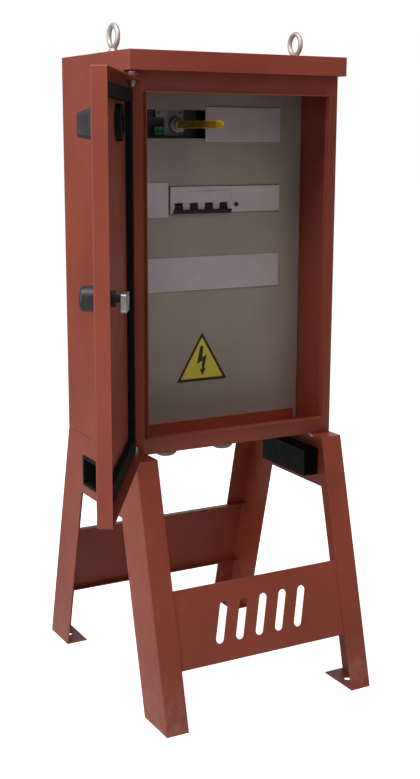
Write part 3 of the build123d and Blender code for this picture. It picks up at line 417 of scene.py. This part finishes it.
def make_sign_marks():
    """The dark border and the simple flash printed on the yellow warning triangle."""
    lowest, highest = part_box("hazard_sign")
    x = (lowest.x + highest.x) / 2
    face = lowest.y
    side = 103 * MM
    border = 5.0 * MM
    inset = 0.5 * MM
    side_loss = 2 * math.sqrt(3)        # a triangle's side shrinks by this much per inset

    def border_ring(work):
        outer = triangle(x, lowest.z + inset, side - inset * side_loss, 2.0 * MM)
        gap = inset + border
        inner = triangle(x, lowest.z + gap, side - gap * side_loss, 1.2 * MM)
        (outer_back, inner_back), (outer_front, inner_front) = [
            [[work.verts.new((px, y, pz)) for px, pz in ring] for ring in (outer, inner)]
            for y in (face + PRINT_SUNK, face - PRINT_T)]
        count = len(outer)
        for i in range(count):
            j = (i + 1) % count
            work.faces.new((outer_front[i], outer_front[j], inner_front[j], inner_front[i]))
            work.faces.new((outer_back[i], inner_back[i], inner_back[j], outer_back[j]))
            work.faces.new((outer_back[i], outer_back[j], outer_front[j], outer_front[i]))
            work.faces.new((inner_back[i], inner_front[i], inner_front[j], inner_back[j]))

    def flash(work):
        top = lowest.z + 62.5 * MM
        left = x - 2.5 * MM
        bolt = [(-1.2, 0.0), (5.6, 0.0), (3.2, -20.5), (12.0, -15.0), (6.8, -40.5), (10.6, -39.4),
                (3.4, -52.5), (-2.0, -41.0), (1.8, -41.4), (3.6, -26.0), (-7.4, -31.5)]
        add_prism(work, [(left + px * MM, top + pz * MM) for px, pz in bolt],
                  face + PRINT_SUNK, face - PRINT_T)

    make_piece("sign_border", border_ring, SIGN_BLACK, "root", smooth=False)
    make_piece("sign_flash", flash, SIGN_BLACK, "root", smooth=False)


def add_bead(work, start, end, radius, seed):
    """A weld bead: a tube between two points whose radius swells and shrinks."""
    steps, sides, wobble = 22, 10, 0.16
    start, end = Vector(start), Vector(end)
    along = (end - start).normalized()
    across = along.orthogonal().normalized()
    other = along.cross(across)
    rings = []
    for step in range(steps + 1):
        t = step / steps
        centre = start.lerp(end, t)
        taper = min(1.0, 4 * min(t, 1 - t) + 0.25)
        swell = 1 + wobble * math.sin(step * 2.4 + seed) + wobble * 0.5 * math.sin(step * 5.1)
        r = radius * taper * swell
        rings.append([work.verts.new(centre + (across * math.cos(a) + other * math.sin(a)) * r)
                      for a in turns(sides)])
    skin_rings(work, rings)


def add_box(work, lowest, highest, place=None):
    """A box between two corners, moved by place when it is given."""
    size = Vector(highest) - Vector(lowest)
    centre = (Vector(highest) + Vector(lowest)) / 2
    shape = Matrix.Translation(centre) @ Matrix.Diagonal((*size, 1.0))
    bmesh.ops.create_cube(work, size=1.0, matrix=(place or Matrix()) @ shape)


def add_screw_head(work, centre, radius, depth):
    """A domed screw head that faces -Y, with a cross recess cut as four sunk lobes."""
    sides = 32
    profile = ((1.0, 0.0), (1.0, 0.45), (0.88, 0.80), (0.62, 1.0))
    rings = []
    for share, rise in profile:
        rings.append([work.verts.new(centre + Vector((radius * share * math.cos(a), -depth * rise,
                                                      radius * share * math.sin(a))))
                      for a in turns(sides)])
    lobed = []
    for a in turns(sides):
        share = 0.24 + 0.22 * max(0.0, math.cos(4 * a)) ** 2
        lobed.append(centre + Vector((radius * share * math.cos(a), -depth,
                                      radius * share * math.sin(a))))
    rings.append([work.verts.new(point) for point in lobed])
    sunk = Vector((0.0, depth * 0.7, 0.0))
    rings.append([work.verts.new(centre + (point - centre) * 0.8 + sunk) for point in lobed])
    skin_rings(work, rings)


def make_bridge_screws():
    """Three small screws that hold the switch's bridge, around the coupler."""
    lowest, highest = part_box("main_switch_bridge")
    inset = 5 * MM
    places = ((highest.x - inset, highest.z - inset), (highest.x - inset, lowest.z + inset),
              (lowest.x + inset, highest.z - inset))

    def heads(work):
        for x, z in places:
            add_screw_head(work, Vector((x, lowest.y, z)), 2.8 * MM, 1.2 * MM)

    make_piece("bridge_screws", heads, SCREW_BROWN, "root")


def make_breaker_marks():
    """The label slot over the levers and the seam between the breaker's two modules."""
    lowest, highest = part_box("breaker_body")
    face = lowest.y
    levers_low, levers_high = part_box("toggle_levers")
    half_lever = 7 * MM
    pitch = (levers_high.x - levers_low.x - half_lever * 2) / 3
    first = levers_low.x + half_lever
    half_nose = 22 * MM
    nose_low, nose_high = (middle("breaker_body").z + reach for reach in (-half_nose, half_nose))
    slot_start, slot_end, seam = (first + pitch * share for share in (0.6, 3.4, 3.5))

    def marks(work):
        add_box(work, (slot_start, face - PRINT_T, nose_high - 7.4 * MM),
                (slot_end, face + PRINT_T, nose_high - 6.5 * MM))
        add_box(work, (seam, face - PRINT_T, nose_low), (seam + 0.3 * MM, face + PRINT_T, nose_high))

    make_piece("breaker_marks", marks, LABEL_BROWN, "root", smooth=False)


def soften(piece, width):
    """Rounds a piece's edges."""
    bevel = piece.modifiers.new("softened", "BEVEL")
    bevel.width = width
    bevel.segments = 2


def make_gland_ribs():
    """Upright grip ribs around the dome nut of each cable gland."""
    lowest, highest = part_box("gland_dome_nuts")
    radius = (highest.y - lowest.y) / 2
    y = (highest.y + lowest.y) / 2
    ribs = 18
    half_rib = 1.5 * MM

    def bars(work):
        for x in (lowest.x + radius, highest.x - radius):
            for angle in turns(ribs):
                turn = Matrix.Translation((x, y, 0.0)) @ Matrix.Rotation(angle, 4, "Z")
                add_box(work, (radius - 0.6 * MM, -half_rib, lowest.z + 12.5 * MM),
                        (radius + 0.9 * MM, half_rib, highest.z - 1.0 * MM), turn)

    ribbed = make_piece("gland_ribs", bars, GREY, "root", smooth=False)
    soften(ribbed, 0.5 * MM)


def make_weld_beads():
    """Weld beads in the corners where the cross panels meet the side frames."""
    slope = (LEG_FOOT_Y - LEG_TOP_Y) / STAND_Z
    inward = 4.6 * MM
    runs_per_side = 3

    def runs(work):
        for panel, end in (("cross_panel_front", -1), ("cross_panel_rear", 1)):
            lowest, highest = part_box(panel)
            step = (highest.z - lowest.z) / runs_per_side
            for side in (-1, 1):
                x = side * (highest.x - 0.6 * MM)
                for run in range(runs_per_side):
                    heights = (lowest.z + step * run + 8 * MM, lowest.z + step * (run + 1) - 10 * MM)
                    start, stop = (Vector((x, end * (LEG_FOOT_Y - slope * z - inward), z))
                                   for z in heights)
                    add_bead(work, start, stop, 1.9 * MM, run + side)

    make_piece("weld_beads", runs, RED, "root")


def make_handle_marks():
    """A white pointer on the switch handle and the two plain position ticks beside it."""
    axis = SHUT_DOOR @ Vector(joints["handle_turn"]["pos_m"])
    flange_y, grip_y = shut_front("handle_flange"), shut_front("switch_handle")
    tick_middle, half_tick = 30.8 * MM, 1.0 * MM

    def pointer(work):
        add_box(work, (axis.x - 1.2 * MM, grip_y - 0.15 * MM, axis.z - 2 * MM),
                (axis.x + 1.2 * MM, grip_y + 0.3 * MM, axis.z + 9 * MM), OPEN_DOOR)

    def ticks(work):
        for x, z in ((axis.x, axis.z + tick_middle), (axis.x + tick_middle, axis.z)):
            add_box(work, (x - half_tick, flange_y - 0.20 * MM, z - half_tick),
                    (x + half_tick, flange_y + 0.25 * MM, z + half_tick), OPEN_DOOR)

    make_piece("handle_pointer", pointer, MARK_WHITE, "handle", smooth=False)
    make_piece("handle_ticks", ticks, MARK_WHITE, "door", smooth=False)


dress_nodes()
make_sign_marks()
make_bridge_screws()
make_breaker_marks()
make_gland_ribs()
make_weld_beads()
make_handle_marks()


# ------------------------------------------------------------------ floor, light, camera
def make_floor():
    """A wide pale disc under the feet."""
    work = bmesh.new()
    bmesh.ops.create_circle(work, cap_ends=True, segments=96, radius=14.0)
    mesh = bpy.data.meshes.new("floor")
    work.to_mesh(mesh)
    work.free()
    floor = bpy.data.objects.new("floor", mesh)
    bpy.context.scene.collection.objects.link(floor)
    pale = Nodes("pale_floor")
    soft = pale.blend(pale.noise(0.5, 2.0), colour(250, 250, 249), colour(246, 246, 245))
    seen = pale.add("ShaderNodeLightPath").outputs["Is Camera Ray"]
    pale.finish(Base_Color=soft, Roughness=0.9, Emission_Color=(1.0, 1.0, 1.0, 1.0),
                Emission_Strength=pale.maths("MULTIPLY", seen, FLOOR_GLOW))
    mesh.materials.append(pale.material)


def make_softbox(name, place, size, watts):
    """A square area light of size metres that faces the cabinet."""
    light = bpy.data.lights.new(name, "AREA")
    light.shape = "RECTANGLE"
    light.size, light.size_y = size, size
    light.energy = watts
    lamp = bpy.data.objects.new(name, light)
    lamp.location = place
    lamp.rotation_euler = (Vector(LIGHT_AIM) - Vector(place)).to_track_quat("-Z", "Y").to_euler()
    bpy.context.scene.collection.objects.link(lamp)


def make_world():
    """A white surround: full to look at, softer in reflections and dim as a light."""
    world = bpy.data.worlds.new("studio")
    world.use_nodes = True
    tree = world.node_tree
    path = tree.nodes.new("ShaderNodeLightPath")
    shown = tree.nodes["Background"].outputs["Background"]
    tree.nodes["Background"].inputs["Color"].default_value = (1.0, 1.0, 1.0, 1.0)
    tree.nodes["Background"].inputs["Strength"].default_value = WORLD_LIGHT
    for ray, strength in (("Is Glossy Ray", WORLD_MIRRORED), ("Is Camera Ray", 1.0)):
        brighter = tree.nodes.new("ShaderNodeBackground")
        brighter.inputs["Color"].default_value = (1.0, 1.0, 1.0, 1.0)
        brighter.inputs["Strength"].default_value = strength
        choose = tree.nodes.new("ShaderNodeMixShader")
        tree.links.new(path.outputs[ray], choose.inputs["Fac"])
        tree.links.new(shown, choose.inputs[1])
        tree.links.new(brighter.outputs["Background"], choose.inputs[2])
        shown = choose.outputs["Shader"]
    tree.links.new(shown, tree.nodes["World Output"].inputs["Surface"])
    bpy.context.scene.world = world


def make_camera():
    """In front of the cabinet, to its left and a little above its middle."""
    camera = bpy.data.cameras.new("camera")
    camera.sensor_width = 36.0
    camera.lens = 56.1
    camera.clip_start, camera.clip_end = 0.05, 60.0
    holder = bpy.data.objects.new("camera", camera)
    heading, dip, roll = math.radians(28.86), math.radians(11.8), math.radians(0.25)
    forward = Vector((math.sin(heading) * math.cos(dip), math.cos(heading) * math.cos(dip),
                      -math.sin(dip)))
    holder.location = (-1.00521, -1.84852, 0.94494)
    turn = forward.to_track_quat("-Z", "Y").to_matrix().to_4x4() @ Matrix.Rotation(roll, 4, "Z")
    holder.rotation_euler = turn.to_euler()
    bpy.context.scene.collection.objects.link(holder)
    bpy.context.scene.camera = holder


make_floor()
for name, place, size, watts in (
        ("left_level", (-3.2, -1.2, 1.1), 1.6, 33),
        ("left_back", (-2.8, 1.6, 2.2), 1.6, 10),
        ("left_high", (-2.6, -0.6, 2.9), 1.4, 8),
        ("front_high", (0.2, -3.0, 3.2), 1.6, 22),
        ("front_left", (-1.0, -3.2, 1.6), 1.4, 3),
        ("steep_left", (-1.2, -0.8, 3.4), 1.4, 53),
        ("right_back", (2.2, 3.0, 1.8), 2.4, 12)):
    make_softbox(name, place, size, watts)
make_world()
make_camera()
bpy.context.scene.view_settings.view_transform = "Standard"
